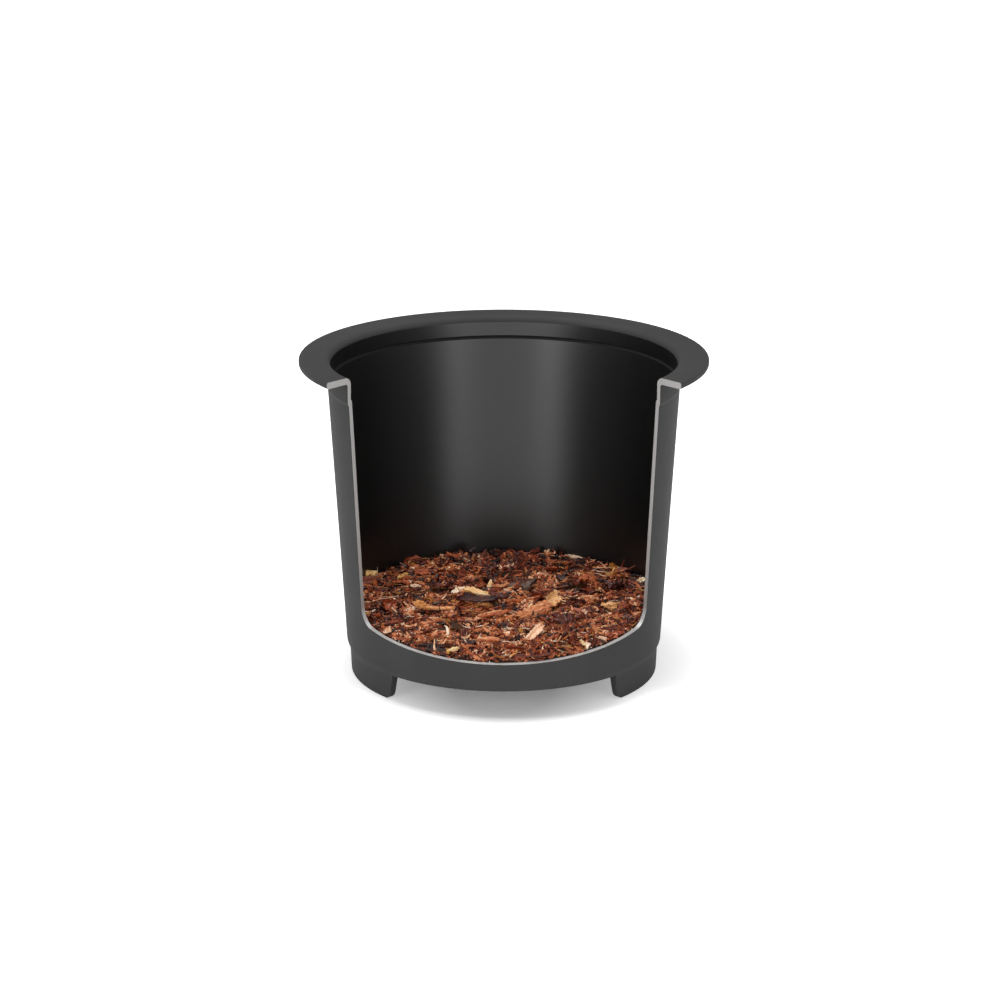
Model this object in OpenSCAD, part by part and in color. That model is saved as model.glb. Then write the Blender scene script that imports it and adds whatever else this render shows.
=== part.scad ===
// Removable processing bucket of an electric food waste composter, sectioned to
// show its inside: a cast pot with a rim flange and two wide feet, its stirring
// drive through the floor, and the dried residue that it holds.
// Millimetres. Z up, origin on the spindle axis at the plane the feet stand on,
// with the window facing -Y.

/* [Bucket] */
// Overall height, feet to the top of the flange
body_h = 172; // [140:1:220]
// Outer radius of the rim flange
flange_r = 108; // [101:0.5:130]
// Thickness of the rim flange
flange_t = 3.4; // [2:0.1:5]
// Radius of the rounded edges of the flange's rim
flange_edge_r = 1.1; // [0.5:0.1:1.2]
// Outer radius of the wall where it ends below the floor
base_r = 84.5; // [78:0.5:88]
// Draft of the wall, degrees from upright
draft = 3.3; // [1:0.1:4.5]
// Thickness of the wall
wall_t = 2.4; // [1.8:0.1:3.5]
// Radius where the flange turns down into the inside wall
lip_r = 3.8; // [2:0.1:5]
// Radius of the fillet under the flange
under_lip_r = 1.4; // [0.5:0.1:3]
// Depth of the collar below the rim, down to the step inside
collar_h = 12; // [8:0.5:25]
// How far the wall steps in below the collar
step_in = 0.7; // [0.3:0.1:1.5]
// Height of the outside step, which lies lower than the inside one
step_h = 1.8; // [1:0.1:3]
// Thickness of the floor
floor_t = 3; // [2:0.1:5]
// How far the floor's underside lies above the wall's lower end
floor_recess = 3; // [2:0.1:4]
// Radius between the floor and the wall, inside
corner_r = 8; // [5:0.5:12]
// Inward set of the wall's softened lower edge
edge_set = 1; // [0.5:0.1:1.5]
// Height of the wall's softened lower edge
edge_h = 2.6; // [1:0.1:5]
// Number of ribs under the floor
rib_count = 8; // [4:2:12]
// Thickness of the ribs under the floor
rib_t = 2.2; // [1.5:0.1:4]

/* [Feet] */
// Height of the feet below the wall's lower end
foot_h = 14.2; // [13.9:0.1:20]
// Arc that each foot spans, in degrees
foot_arc = 91; // [60:1:110]
// Thickness of a foot where it leaves the bucket
foot_t = 4.6; // [3.5:0.1:8]
// Thickness that a foot loses towards the ground, over its height
foot_taper = 1.2; // [0:0.1:1.5]
// Slant of a foot's end faces, degrees
foot_slant = 7; // [0:1:15]
// Radius of a foot's lower corners
foot_corner_r = 4.5; // [2:0.5:7]
// Radius of a foot's outer lower edge
foot_edge_r = 1.8; // [0.5:0.1:2]

/* [Window] */
// Angle of each cut plane from straight ahead, degrees
window_half = 42.4; // [30:0.2:50]
// Distance of the cut planes from the spindle axis
window_offset = 26.2; // [15:0.1:35]
// Height of the sill's outer edge at the front
sill_h = 29.4; // [29:0.1:33]
// Rise of the sill towards the back, degrees
sill_tilt = 11.3; // [8:0.1:13]
// Radius of the window's lower corners
window_corner_r = 10; // [4:0.5:20]

/* [Spindle] */
// Diameter of the spindle where it runs in the bushes
spindle_d = 10; // [8:0.5:12]
// Diameter of the spindle inside the blade's hub
driver_d = 8.4; // [7:0.1:9]
// Size across the spindle's two driving flats
flats_w = 6.6; // [6:0.1:7]
// Diameter of the spindle's threaded end
thread_d = 6; // [5:0.5:6.5]
// Height of the spindle's lower end above the ground
spindle_low = 3; // [2.6:0.1:4]

/* [Bearing block] */
// Radius of the block's flange under the floor
block_r = 26; // [24:0.5:32]
// Thickness of the block's flange
block_t = 3; // [2:0.1:3.4]
// Radius of the block's boss, which stands up through the floor
boss_r = 12.4; // [11.5:0.1:13]
// Rise of the boss above the floor
boss_rise = 3; // [2.6:0.1:3.4]
// How far the block's sleeve hangs below its flange
sleeve_drop = 1.8; // [1:0.1:2]
// Thickness of the gasket between the floor and the block
gasket_t = 0.8; // [0.5:0.1:1.2]
// Wall thickness of the bushes
bush_wall = 2; // [1.5:0.1:2.5]
// Length of each bush's plain part
bush_l = 3; // [2.5:0.1:3.2]
// Thickness of the lower bush's flange
bush_flange_t = 1; // [0.8:0.1:1.2]
// Radius of the shaft seal
seal_r = 8.8; // [8.3:0.1:9.5]
// Height of the shaft seal
seal_h = 4.6; // [4:0.1:4.8]
// Radius of the circle on which the rivets lie
rivet_pcr = 22; // [21.5:0.1:23]
// Diameter of a rivet's shank
rivet_d = 4; // [3:0.1:4.4]
// Radius of a rivet's heads
rivet_head_r = 3.4; // [2.8:0.1:3.6]
// Height of a rivet's inner head
rivet_head_h = 1.2; // [0.8:0.1:1.2]
// Number of rivets
rivet_count = 4; // [3:1:6]

/* [Blade] */
// Outer radius of the blade's hub
hub_r = 17; // [15.8:0.1:17.6]
// Height of the blade's hub
hub_h = 9.4; // [8.6:0.1:10]
// Gap between the bucket's floor and the blade
blade_lift = 1.6; // [1.5:0.1:2]
// Number of arms
arm_count = 3; // [2:1:4]
// Radius of the arc that an arm follows
arm_arc_r = 60; // [52:1:80]
// Reach of an arm from the spindle axis to its middle line's end
arm_reach = 73; // [50:1:73]
// Height of an arm
arm_h = 5.9; // [4:0.1:6]
// Height of the arms above the hub's lower edge
arm_lift = 0.3; // [0.2:0.1:0.5]
// Width of an arm at its foot
arm_w = 5.8; // [4:0.1:7]
// Width of an arm along its top
arm_top_w = 2.8; // [2:0.1:4]
// Radius of the recess in the hub for the cap nut
nut_recess_r = 7.6; // [7:0.1:9]
// Depth of the recess in the hub for the cap nut
nut_recess_h = 2.7; // [2.2:0.1:2.9]
// Thickness of the sealing washer under the steel washer
nut_seal_t = 0.7; // [0.5:0.1:1]
// Thickness of the steel washer
washer_t = 1; // [0.6:0.1:1.2]
// Size across the cap nut's flats
nut_w = 10; // [9:0.5:11]
// Height of the cap nut
nut_h = 4.4; // [4:0.1:4.6]

/* [Coupling] */
// Radius of the coupling's hub
coupling_r = 9; // [8:0.1:10]
// Height of the coupling
coupling_h = 7; // [6:0.1:7.2]
// Reach of the coupling's wings from the spindle axis
wing_reach = 17; // [14:0.5:20]
// Width of a wing
wing_w = 6; // [4:0.5:8]
// Height of a wing
wing_h = 5; // [4:0.1:5.6]
// Diameter of the cross pin
pin_d = 2.5; // [2:0.1:3]
// Thickness of the spindle's retaining ring
clip_t = 0.8; // [0.6:0.1:1]
// Outer radius of the retaining ring
clip_r = 7.2; // [6.8:0.1:8]
// Depth of the retaining ring's groove
clip_depth = 0.7; // [0.5:0.1:1]

/* [Residue] */
// Height of the residue's level surface above the ground
bed_top = 36.4; // [36.2:0.1:42]
// Rise of the residue over the blade's nut
bed_mound = 1.2; // [1.1:0.1:3]
// Height of the lumps on the residue
lump_h = 0.9; // [0.2:0.1:1]

/* [Fits] */
// Radial clearance of a turning fit
run_gap = 0.04; // [0.02:0.01:0.08]
// Radial clearance of a part seated in another
seat_gap = 0.02; // [0.01:0.01:0.05]
// End float of the spindle
end_float = 0.1; // [0.05:0.01:0.2]
// Clearance between the residue and what it lies against
soft_gap = 0.3; // [0.2:0.1:0.5]
// Clearance between the residue and the turning blade
sweep_gap = 0.8; // [0.5:0.1:0.9]

/* [Hidden] */
$fn = 96;
eps = 0.01;

coat = "#4a4a4a";
steel = "#b9bcc0";
bronze = "#a9824e";

spindle_r = spindle_d / 2;
floor_low = foot_h + floor_recess;
floor_top = floor_low + floor_t;
step_z = body_h - collar_h;
foot_top_r = base_r - edge_set;
foot_set = edge_set / 2;          // how far a foot draws in below the softened edge

// the stack under and in the floor, from the gasket down and up
flange_top = floor_low - gasket_t;
flange_low = flange_top - block_t;
sleeve_low = flange_low - sleeve_drop;
sleeve_r = spindle_r + bush_wall + 4;
boss_top = floor_top + boss_rise;
bush_r = spindle_r + run_gap + bush_wall;
upper_bush_low = sleeve_low + bush_l + 0.2;
seal_low = upper_bush_low + bush_l + 0.2;

// the stack on the spindle
washer_top = sleeve_low - bush_flange_t - end_float;
clip_top = washer_top - clip_t;
clip_low = clip_top - clip_t;
coupling_top = clip_low - soft_gap;
coupling_low = coupling_top - coupling_h;
pin_z = coupling_low + wing_h / 2 + 1.2;
thrust_low = boss_top + end_float;
roof_z = thrust_low + washer_t;
hub_low = floor_top + blade_lift;
hub_top = hub_low + hub_h;
nut_seat = hub_top - nut_recess_h;
seal_top = nut_seat + nut_seal_t;
nut_low = seal_top + washer_t;
nut_top = nut_low + nut_h;

// the residue and the space that the blade sweeps under it
pad_r = arm_w / 2 + 0.5;
sweep_r = arm_reach + pad_r + sweep_gap;
sweep_top = hub_low + arm_lift + arm_h + sweep_gap;
hub_sweep_r = hub_r + sweep_gap;
hub_sweep_top = nut_top + sweep_gap / 2;
fillet_top = floor_top + corner_r;

// Outer radius of the wall below the collar, at a height
function wall_r(z) = base_r + (z - foot_h) * tan(draft);
// Inner radius of the wall below the collar, at a height
function bore_r(z) = wall_r(z) - wall_t;
// Height of the sill's plane at a distance in front of (negative) or behind the axis
function sill_z(y) = sill_h + (y + wall_r(sill_h)) * tan(sill_tilt);

// ---- bucket ----

// Half section of the pot, from the floor's hole to the rim
module pot_section() {
    hole_r = boss_r + soft_gap;
    collar_r = wall_r(body_h) + step_in;
    // wall with its softened lower edge and the step below the collar
    polygon([
        [base_r - edge_set, foot_h],
        [wall_r(foot_h + edge_h), foot_h + edge_h],
        [wall_r(step_z - 2 * step_h), step_z - 2 * step_h],
        [wall_r(step_z - step_h) + step_in, step_z - step_h],
        [collar_r, body_h - flange_t / 2],
        [collar_r - wall_t, body_h - flange_t / 2],
        [bore_r(step_z) + step_in, step_z],
        [bore_r(step_z - 0.8), step_z - 0.8],
        [bore_r(foot_h), foot_h]
    ]);
    difference() {
        union() {
            // flange, with a rounded rim
            translate([collar_r - wall_t, body_h - flange_t])
                square([flange_r - flange_edge_r - collar_r + wall_t, flange_t]);
            translate([collar_r, body_h - flange_t + flange_edge_r])
                square([flange_r - collar_r, flange_t - 2 * flange_edge_r]);
            for (z = [body_h - flange_edge_r, body_h - flange_t + flange_edge_r])
                translate([flange_r - flange_edge_r, z]) circle(flange_edge_r);
            // fillet under the flange
            difference() {
                translate([collar_r - wall_t / 2, body_h - flange_t - under_lip_r])
                    square([wall_t / 2 + under_lip_r, under_lip_r + eps]);
                translate([collar_r + under_lip_r, body_h - flange_t - under_lip_r])
                    circle(under_lip_r);
            }
        }
        // the lip that turns down into the pot
        difference() {
            translate([collar_r - wall_t - eps, body_h - lip_r]) square([lip_r + eps, lip_r + eps]);
            translate([collar_r - wall_t + lip_r, body_h - lip_r]) circle(lip_r);
        }
    }
    // floor, and its fillet to the wall
    translate([hole_r, floor_low]) square([bore_r(floor_low) + wall_t / 2 - hole_r, floor_t]);
    difference() {
        translate([bore_r(fillet_top) - corner_r, floor_top - eps])
            square([corner_r + wall_t / 2, corner_r]);
        translate([bore_r(fillet_top) - corner_r, fillet_top]) circle(corner_r);
    }
}

// Half section of the ring from which the feet are cut
module foot_section() {
    r = foot_top_r - foot_set;
    difference() {
        union() {
            polygon([
                [r - foot_set - foot_edge_r, 0],
                [r - foot_set, foot_edge_r],
                [r, foot_h - 1.6],
                [foot_top_r, foot_h],
                [foot_top_r, foot_h + wall_t / 2],
                [foot_top_r - foot_t, floor_low + eps],
                [foot_top_r - foot_t, foot_h],
                [r - foot_set - foot_t + foot_taper, 0]
            ]);
            translate([r - foot_set - foot_edge_r, foot_edge_r]) circle(foot_edge_r);
        }
        translate([0, -2 * foot_h]) square([base_r, 2 * foot_h]);
    }
}

// Outline of a foot's end seen from outside, the foot to the left: a slanted end
// face at x = 0 with a rounded lower corner
module foot_end_outline() {
    r = foot_corner_r;
    corner_x = -(r + (foot_h - r) * sin(foot_slant)) / cos(foot_slant);
    over = floor_recess + wall_t;
    polygon([
        [-2 * base_r, 0],
        [corner_x, 0],
        [corner_x + r * cos(foot_slant), r - r * sin(foot_slant)],
        [0, foot_h],
        [over * tan(foot_slant), foot_h + over],
        [-2 * base_r, foot_h + over]
    ]);
    translate([corner_x, r]) circle(r);
}

// One foot, centred on +X
module foot() {
    intersection() {
        rotate_extrude() foot_section();
        for_ends() linear_extrude(2 * base_r) foot_end_outline();
    }
}

// Intersection of a shape placed at both ends of a foot's arc, and mirrored
module for_ends() {
    intersection_for (side = [1, -1])
        mirror([0, side < 0 ? 1 : 0, 0])
            rotate([0, 0, foot_arc / 2]) rotate([90, 0, 90]) children();
}

// Section of the window's cutter square to a cut plane: the sill below, the cut
// plane to the right and a rounded corner between them
module window_outline(lean) {
    far = 2 * flange_r;
    r = window_corner_r;
    low = sill_low();
    sill_at = low + window_offset * tan(lean);
    // centre of the corner's radius, tangent to the plane and the leaning sill
    cx = window_offset - r;
    cy = low + cx * tan(lean) + r / cos(lean);
    polygon([
        [-far, low - far * tan(lean)],
        [cx + r * sin(lean), cy - r * cos(lean)],
        [window_offset, cy],
        [window_offset, far],
        [-far, far]
    ]);
    translate([cx, cy]) circle(r);
}

// Height of the sill's plane on the spindle axis, along the cutter's own upright
function sill_low() = sill_z(0) * cos(sill_fall());
// Fall of the sill along a cut plane, degrees
function sill_fall() = atan(tan(sill_tilt) * cos(window_half));
// Lean of the sill square to a cut plane, degrees
function sill_lean() = asin(sin(sill_tilt) * sin(window_half));

// Everything that the window takes away
module window_cutter() {
    span = 4 * flange_r;
    intersection_for (side = [1, -1])
        mirror([side < 0 ? 1 : 0, 0, 0])
            rotate([90 + sill_fall(), 0, window_half])
                translate([0, 0, -span / 2]) linear_extrude(span) window_outline(sill_lean());
}

// Ribs and a ring under the floor
module floor_ribs() {
    ring_r = (block_r + foot_top_r - foot_t) / 2;
    rib_h = floor_recess - 0.4;
    inner = block_r + 1;
    for (i = [0 : rib_count - 1])
        rotate([0, 0, (i + 0.5) * 360 / rib_count])
            translate([inner, -rib_t / 2, floor_low - rib_h])
                cube([base_r - wall_t / 2 - inner, rib_t, rib_h + eps]);
    translate([0, 0, floor_low - rib_h])
        difference() {
            cylinder(h = rib_h + eps, r = ring_r + rib_t / 2);
            translate([0, 0, -eps]) cylinder(h = rib_h + 3 * eps, r = ring_r - rib_t / 2);
        }
}

module bucket() {
    color(coat)
    difference() {
        union() {
            rotate_extrude() pot_section();
            for (a = [0, 180]) rotate([0, 0, a]) foot();
            floor_ribs();
        }
        window_cutter();
        rivet_places() cylinder(h = floor_top + eps, d = rivet_d + 2 * seat_gap, $fn = 32);
    }
}

// ---- bearing block ----

// Children at each rivet, turned to lie between the ribs
module rivet_places() {
    for (i = [0 : rivet_count - 1])
        rotate([0, 0, i * 360 / rivet_count]) translate([rivet_pcr, 0, 0]) children();
}

module bearing_block() {
    color("#8b8d90")
    difference() {
        rotate_extrude()
            polygon([
                [bush_r + seat_gap, sleeve_low],
                [sleeve_r, sleeve_low],
                [sleeve_r + 1, flange_low],
                [block_r - 0.8, flange_low],
                [block_r, flange_low + 0.8],
                [block_r, flange_top],
                [boss_r, flange_top],
                [boss_r, boss_top - 0.6],
                [boss_r - 0.6, boss_top],
                [seal_r + seat_gap, boss_top],
                [seal_r + seat_gap, seal_low - seat_gap],
                [bush_r + seat_gap, seal_low - seat_gap]
            ]);
        rivet_places() cylinder(h = floor_top, d = rivet_d + 2 * seat_gap, $fn = 32);
    }
}

module block_gasket() {
    color("#3a3330")
    translate([0, 0, flange_top])
        difference() {
            cylinder(h = gasket_t, r = block_r - 0.6);
            translate([0, 0, -eps]) cylinder(h = gasket_t + 2 * eps, r = boss_r + soft_gap);
            rivet_places() translate([0, 0, -eps])
                cylinder(h = gasket_t + 2 * eps, d = rivet_d + 2 * seat_gap, $fn = 32);
        }
}

module block_rivets() {
    color(steel)
    rivet_places()
        rotate_extrude($fn = 32)
            polygon([
                [0, flange_low - 1],
                [rivet_head_r * 0.8, flange_low - 1],
                [rivet_head_r * 0.9, flange_low],
                [rivet_d / 2, flange_low],
                [rivet_d / 2, floor_top],
                [rivet_head_r, floor_top],
                [rivet_head_r, floor_top + rivet_head_h * 0.3],
                [rivet_head_r * 0.7, floor_top + rivet_head_h * 0.8],
                [rivet_head_r * 0.3, floor_top + rivet_head_h],
                [0, floor_top + rivet_head_h]
            ]);
}

// Plain bush standing on z, with a flange below it if flange is over 0
module bush(z, flange) {
    color(bronze)
    rotate_extrude()
        polygon([
            [spindle_r + run_gap, z - flange],
            [flange > 0 ? bush_r + 1.4 : bush_r, z - flange],
            [flange > 0 ? bush_r + 1.4 : bush_r, z],
            [bush_r, z],
            [bush_r, z + bush_l - 0.3],
            [bush_r - 0.3, z + bush_l],
            [spindle_r + run_gap, z + bush_l]
        ]);
}

module lower_bush() {
    bush(sleeve_low, bush_flange_t);
}

module upper_bush() {
    bush(upper_bush_low, 0);
}

// Lip seal: a cup whose inner lip points up, towards the residue, with a channel
// behind the lip for its spring
module shaft_seal() {
    lip = spindle_r + run_gap;
    top = seal_low + seal_h;
    color("#26221f")
    rotate_extrude()
        difference() {
            polygon([
                [lip + 0.6, seal_low],
                [seal_r, seal_low],
                [seal_r, top],
                [seal_r - 1, top],
                [seal_r - 1, seal_low + 1.2],
                [lip + 1.5, seal_low + 1.2],
                [lip + 1.8, top - 0.4],
                [lip + 0.6, top - 0.4],
                [lip, top - 1.1],
                [lip + 0.6, seal_low + 1.2]
            ]);
            translate([lip + 2.1, top - 1.3]) circle(garter_r() + seat_gap, $fn = 24);
        }
}

function garter_r() = 0.55;

module garter_spring() {
    lip = spindle_r + run_gap;
    color(steel)
    rotate_extrude()
        translate([lip + 2.1, seal_low + seal_h - 1.3]) circle(garter_r(), $fn = 24);
}

// ---- spindle and what turns with it ----

module drive_spindle() {
    chamfer = 0.6;
    color(steel)
    difference() {
        union() {
            rotate_extrude()
                polygon([
                    [0, spindle_low],
                    [spindle_r - chamfer, spindle_low],
                    [spindle_r, spindle_low + chamfer],
                    [spindle_r, clip_low - seat_gap],
                    [spindle_r - clip_depth, clip_low - seat_gap],
                    [spindle_r - clip_depth, clip_top],
                    [spindle_r, clip_top],
                    [spindle_r, roof_z],
                    [0, roof_z]
                ]);
            intersection() {
                translate([0, 0, roof_z - eps]) cylinder(h = nut_seat - roof_z, d = driver_d);
                translate([-driver_d, -flats_w / 2, roof_z - eps])
                    cube([2 * driver_d, flats_w, nut_seat - roof_z + eps]);
            }
            cylinder_between(nut_seat - 1, nut_top - 1.8, thread_d / 2);
        }
        cross_hole(pin_d / 2 + seat_gap);
    }
}

module cylinder_between(low, high, r) {
    translate([0, 0, low]) cylinder(h = high - low, r = r);
}

// Hole across the spindle for the coupling's pin, square to the wings
module cross_hole(r) {
    translate([0, wing_reach, pin_z]) rotate([90, 0, 0]) cylinder(h = 2 * wing_reach, r = r, $fn = 32);
}

module ring(low, t, inner, outer) {
    translate([0, 0, low])
        difference() {
            cylinder(h = t, r = outer);
            translate([0, 0, -eps]) cylinder(h = t + 2 * eps, r = inner);
        }
}

module spindle_washer() {
    color(steel) ring(clip_top, clip_t, spindle_r + seat_gap, bush_r + 1);
}

// Open retaining ring with an eye at each end
module retaining_ring() {
    inner = spindle_r - clip_depth + seat_gap;
    color("#55585c")
    translate([0, 0, clip_low])
        difference() {
            union() {
                cylinder(h = clip_t - seat_gap, r = clip_r - 0.8);
                for (x = [-1.7, 1.7])
                    translate([x, -clip_r + 0.9, 0]) cylinder(h = clip_t - seat_gap, r = 1.2, $fn = 24);
            }
            translate([0, 0, -eps]) cylinder(h = clip_t + 2 * eps, r = inner);
            translate([-0.6, -2 * clip_r, -eps]) cube([1.2, 2 * clip_r, clip_t + 2 * eps]);
            for (x = [-1.7, 1.7])
                translate([x, -clip_r + 0.9, -eps]) cylinder(h = clip_t + 2 * eps, r = 0.5, $fn = 24);
        }
}

// Coupling with two wings that the machine's drive turns
module drive_coupling() {
    color("#77797c")
    difference() {
        union() {
            cylinder_between(coupling_low, coupling_top, coupling_r);
            for (side = [-1, 1]) {
                translate([min(side * (wing_reach - wing_w / 2), 0), -wing_w / 2, coupling_low])
                    cube([wing_reach - wing_w / 2, wing_w, wing_h]);
                translate([side * (wing_reach - wing_w / 2), 0, coupling_low])
                    cylinder(h = wing_h, d = wing_w, $fn = 48);
            }
        }
        cylinder_between(coupling_low - eps, coupling_top + eps, spindle_r + seat_gap);
        cross_hole(pin_d / 2 + seat_gap);
    }
}

module coupling_pin() {
    color(steel)
    translate([0, -coupling_r + 0.4, pin_z]) rotate([-90, 0, 0])
        cylinder(h = 2 * (coupling_r - 0.4), d = pin_d, $fn = 32);
}

module thrust_washer() {
    color(bronze) ring(thrust_low, washer_t, spindle_r + seat_gap, boss_r - 0.8);
}

// One arm: an arc in plan from inside the hub's wall, wider at its foot, ending in
// a round scraping pad
module blade_arm() {
    start = 2 * asin((hub_r - 1.5) / 2 / arm_arc_r);
    sweep = 2 * asin(arm_reach / 2 / arm_arc_r);
    translate([-arm_arc_r, 0, hub_low + arm_lift]) {
        rotate([0, 0, start]) rotate_extrude(angle = sweep - start)
            translate([arm_arc_r, 0])
                polygon([
                    [-arm_w / 2, 0],
                    [arm_w / 2, 0],
                    [arm_top_w / 2, arm_h],
                    [-arm_top_w / 2, arm_h]
                ]);
        rotate([0, 0, sweep]) translate([arm_arc_r, 0, 0])
            cylinder(h = arm_h - 1.2, r = pad_r, $fn = 48);
    }
}

module stirring_blade() {
    hood_r = boss_r + soft_gap + 0.7;
    color("#8f9296")
    difference() {
        union() {
            rotate_extrude()
                polygon([
                    [0, hub_low],
                    [hub_r, hub_low],
                    [hub_r, hub_low + arm_h + 0.9],
                    [hub_r - 2, hub_top],
                    [0, hub_top]
                ]);
            for (i = [0 : arm_count - 1]) rotate([0, 0, i * 360 / arm_count]) blade_arm();
        }
        cylinder_between(hub_low - eps, roof_z, hood_r);
        cylinder_between(nut_seat, hub_top + eps, nut_recess_r);
        intersection() {
            cylinder_between(roof_z - 1, nut_seat + 1, driver_d / 2 + seat_gap);
            translate([-driver_d, -flats_w / 2 - seat_gap, roof_z - 1])
                cube([2 * driver_d, flats_w + 2 * seat_gap, nut_seat - roof_z + 2]);
        }
    }
}

module nut_seal() {
    color("#7c3a2c") ring(nut_seat, nut_seal_t, thread_d / 2 + seat_gap, nut_w / 2 + 1);
}

module blade_washer() {
    color(steel) ring(seal_top, washer_t, thread_d / 2 + seat_gap, nut_w / 2 + 1.2);
}

// Cap nut: a hexagon under a low dome
module cap_nut() {
    hex_h = nut_h * 0.6;
    dome_r = (pow(nut_w / 2, 2) + pow(nut_h - hex_h, 2)) / 2 / (nut_h - hex_h);
    color(steel)
    difference() {
        union() {
            cylinder_between(nut_low, nut_low + hex_h, nut_w / 2 / cos(30), $fn = 6);
            intersection() {
                translate([0, 0, nut_top - dome_r]) sphere(dome_r);
                cylinder_between(nut_low + hex_h - eps, nut_top, nut_w / 2);
            }
        }
        cylinder_between(nut_low - eps, nut_top - 1.8 + seat_gap, thread_d / 2 + seat_gap);
    }
}

// ---- residue ----

// Lumps of the residue's surface, -1 to 1
function lumps(x, y) =
    (sin(13 * x + 40 * sin(7 * y)) + sin(17 * y + 50 * sin(9 * x) + 60)
     + 0.8 * sin(29 * x - 23 * y + 20) + 0.8 * sin(31 * y + 19 * x + 140)) / 3.6;

// Height of the residue at a place: level, heaped a little over the nut, and
// sloping down to the sill behind the window
function bed_z(x, y) =
    let (r = norm([x, y]),
         heap = bed_mound * exp(-pow(r / 22, 2)),
         slope = sill_z(y) + 0.9,
         soft = 1.2,
         level = bed_top - soft * ln(1 + exp((bed_top - slope) / soft)))
    level + heap + lump_h * lumps(x, y) * (r > sweep_r ? 0.5 : 0.8);

// Radii at which the surface is set out, and the number of steps round it
bed_rings = [for (i = [1 : 16]) i * sweep_r / 16];
bed_steps = 96;
bed_arc = 4;

// Points of the residue's half section in direction a, from the top's outermost
// ring round the outside and along the roof of the blade's space to the middle
function bed_outside(a) =
    let (edge_r = bore_r(bed_top - 3) - soft_gap,
         turn_r = bore_r(fillet_top) - corner_r,
         own_r = corner_r - soft_gap,
         last = acos((sweep_r - turn_r) / own_r))
    concat(
        [[edge_r, bed_z(edge_r * cos(a), edge_r * sin(a))]],
        [for (i = [0 : bed_arc])
            [turn_r + own_r * cos(last * i / bed_arc), fillet_top - own_r * sin(last * i / bed_arc)]],
        [[sweep_r, sweep_top], [hub_sweep_r, sweep_top], [hub_sweep_r, hub_sweep_top]]);

module residue_bed() {
    rows = len(bed_rings) + bed_arc + 5;
    points = concat(
        [[0, 0, bed_z(0, 0)], [0, 0, hub_sweep_top]],
        [for (k = [0 : bed_steps - 1])
            let (a = k * 360 / bed_steps, outside = bed_outside(a))
            for (p = concat([for (r = bed_rings) [r, bed_z(r * cos(a), r * sin(a))]], outside))
                [p[0] * cos(a), p[0] * sin(a), p[1]]]);
    function at(k, i) = 2 + (k % bed_steps) * rows + i;
    color("#6b3a26")
    polyhedron(points, [
        for (k = [0 : bed_steps - 1]) each [
            [0, at(k + 1, 0), at(k, 0)],
            [1, at(k, rows - 1), at(k + 1, rows - 1)],
            for (i = [0 : rows - 2]) each [
                [at(k, i), at(k + 1, i), at(k + 1, i + 1)],
                [at(k, i), at(k + 1, i + 1), at(k, i + 1)]
            ]
        ]
    ]);
}

bucket();
bearing_block();
block_gasket();
block_rivets();
lower_bush();
upper_bush();
shaft_seal();
garter_spring();
drive_spindle();
spindle_washer();
retaining_ring();
drive_coupling();
coupling_pin();
thrust_washer();
stirring_blade();
nut_seal();
blade_washer();
cap_nut();
residue_bed();
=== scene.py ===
from math import asin, atan, ceil, cos, pi, radians, sin, sqrt, tan

import bmesh
import bpy
import numpy as np
from mathutils import Matrix, Vector, noise


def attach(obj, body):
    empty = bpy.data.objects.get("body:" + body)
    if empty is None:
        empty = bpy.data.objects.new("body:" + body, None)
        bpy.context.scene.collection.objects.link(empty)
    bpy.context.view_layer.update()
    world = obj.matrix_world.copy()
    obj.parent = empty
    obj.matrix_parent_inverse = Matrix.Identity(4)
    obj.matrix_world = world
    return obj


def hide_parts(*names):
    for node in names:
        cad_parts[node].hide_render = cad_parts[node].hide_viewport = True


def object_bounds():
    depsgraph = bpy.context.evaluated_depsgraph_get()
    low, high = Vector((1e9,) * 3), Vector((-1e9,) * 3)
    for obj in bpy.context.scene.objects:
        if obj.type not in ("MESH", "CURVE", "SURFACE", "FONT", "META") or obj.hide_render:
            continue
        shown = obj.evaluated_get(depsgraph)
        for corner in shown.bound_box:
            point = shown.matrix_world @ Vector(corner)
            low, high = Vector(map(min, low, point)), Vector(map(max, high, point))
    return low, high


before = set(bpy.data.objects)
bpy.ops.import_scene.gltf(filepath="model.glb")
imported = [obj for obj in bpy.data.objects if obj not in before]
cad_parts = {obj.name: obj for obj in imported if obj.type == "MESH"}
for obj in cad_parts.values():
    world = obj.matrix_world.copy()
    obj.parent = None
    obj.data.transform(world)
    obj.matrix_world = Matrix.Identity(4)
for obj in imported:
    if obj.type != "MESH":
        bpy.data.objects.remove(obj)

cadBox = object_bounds()     # the CAD's box, before anything is replaced
mm = 0.001


def linear(hexColour):   # sRGB hex to the linear colour that a shader takes
    parts = [int(hexColour[i:i + 2], 16) / 255 for i in (1, 3, 5)]
    return [c / 12.92 if c <= 0.04045 else ((c + 0.055) / 1.055) ** 2.4 for c in parts] + [1]


def addNode(tree, kind, settings=None, links=None):
    # a node, its settings and what feeds it; a setting is one of the node's own or a socket's,
    # and "stops" are a Color Ramp's (position, hex colour) pairs
    node = tree.nodes.new("ShaderNode" + kind)
    for name, value in (settings or {}).items():
        if name == "stops":
            elements = node.color_ramp.elements
            for i, (position, colour) in enumerate(value):
                stop = elements[i] if i < 2 else elements.new(position)
                stop.position, stop.color = position, linear(colour)
        elif isinstance(name, str) and hasattr(node, name):
            setattr(node, name, value)
        else:
            node.inputs[name].default_value = value
    for name, source in (links or {}).items():
        tree.links.new(source, node.inputs[name])
    return node


def newMaterial(name, **shader):   # a material and its Principled shader, whose sockets are set by name
    material = bpy.data.materials.new(name)
    material.use_nodes = True
    tree = material.node_tree
    surface = tree.nodes["Principled BSDF"]
    for socket, value in shader.items():
        surface.inputs[socket.replace("_", " ")].default_value = value
    return material, tree, surface


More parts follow.
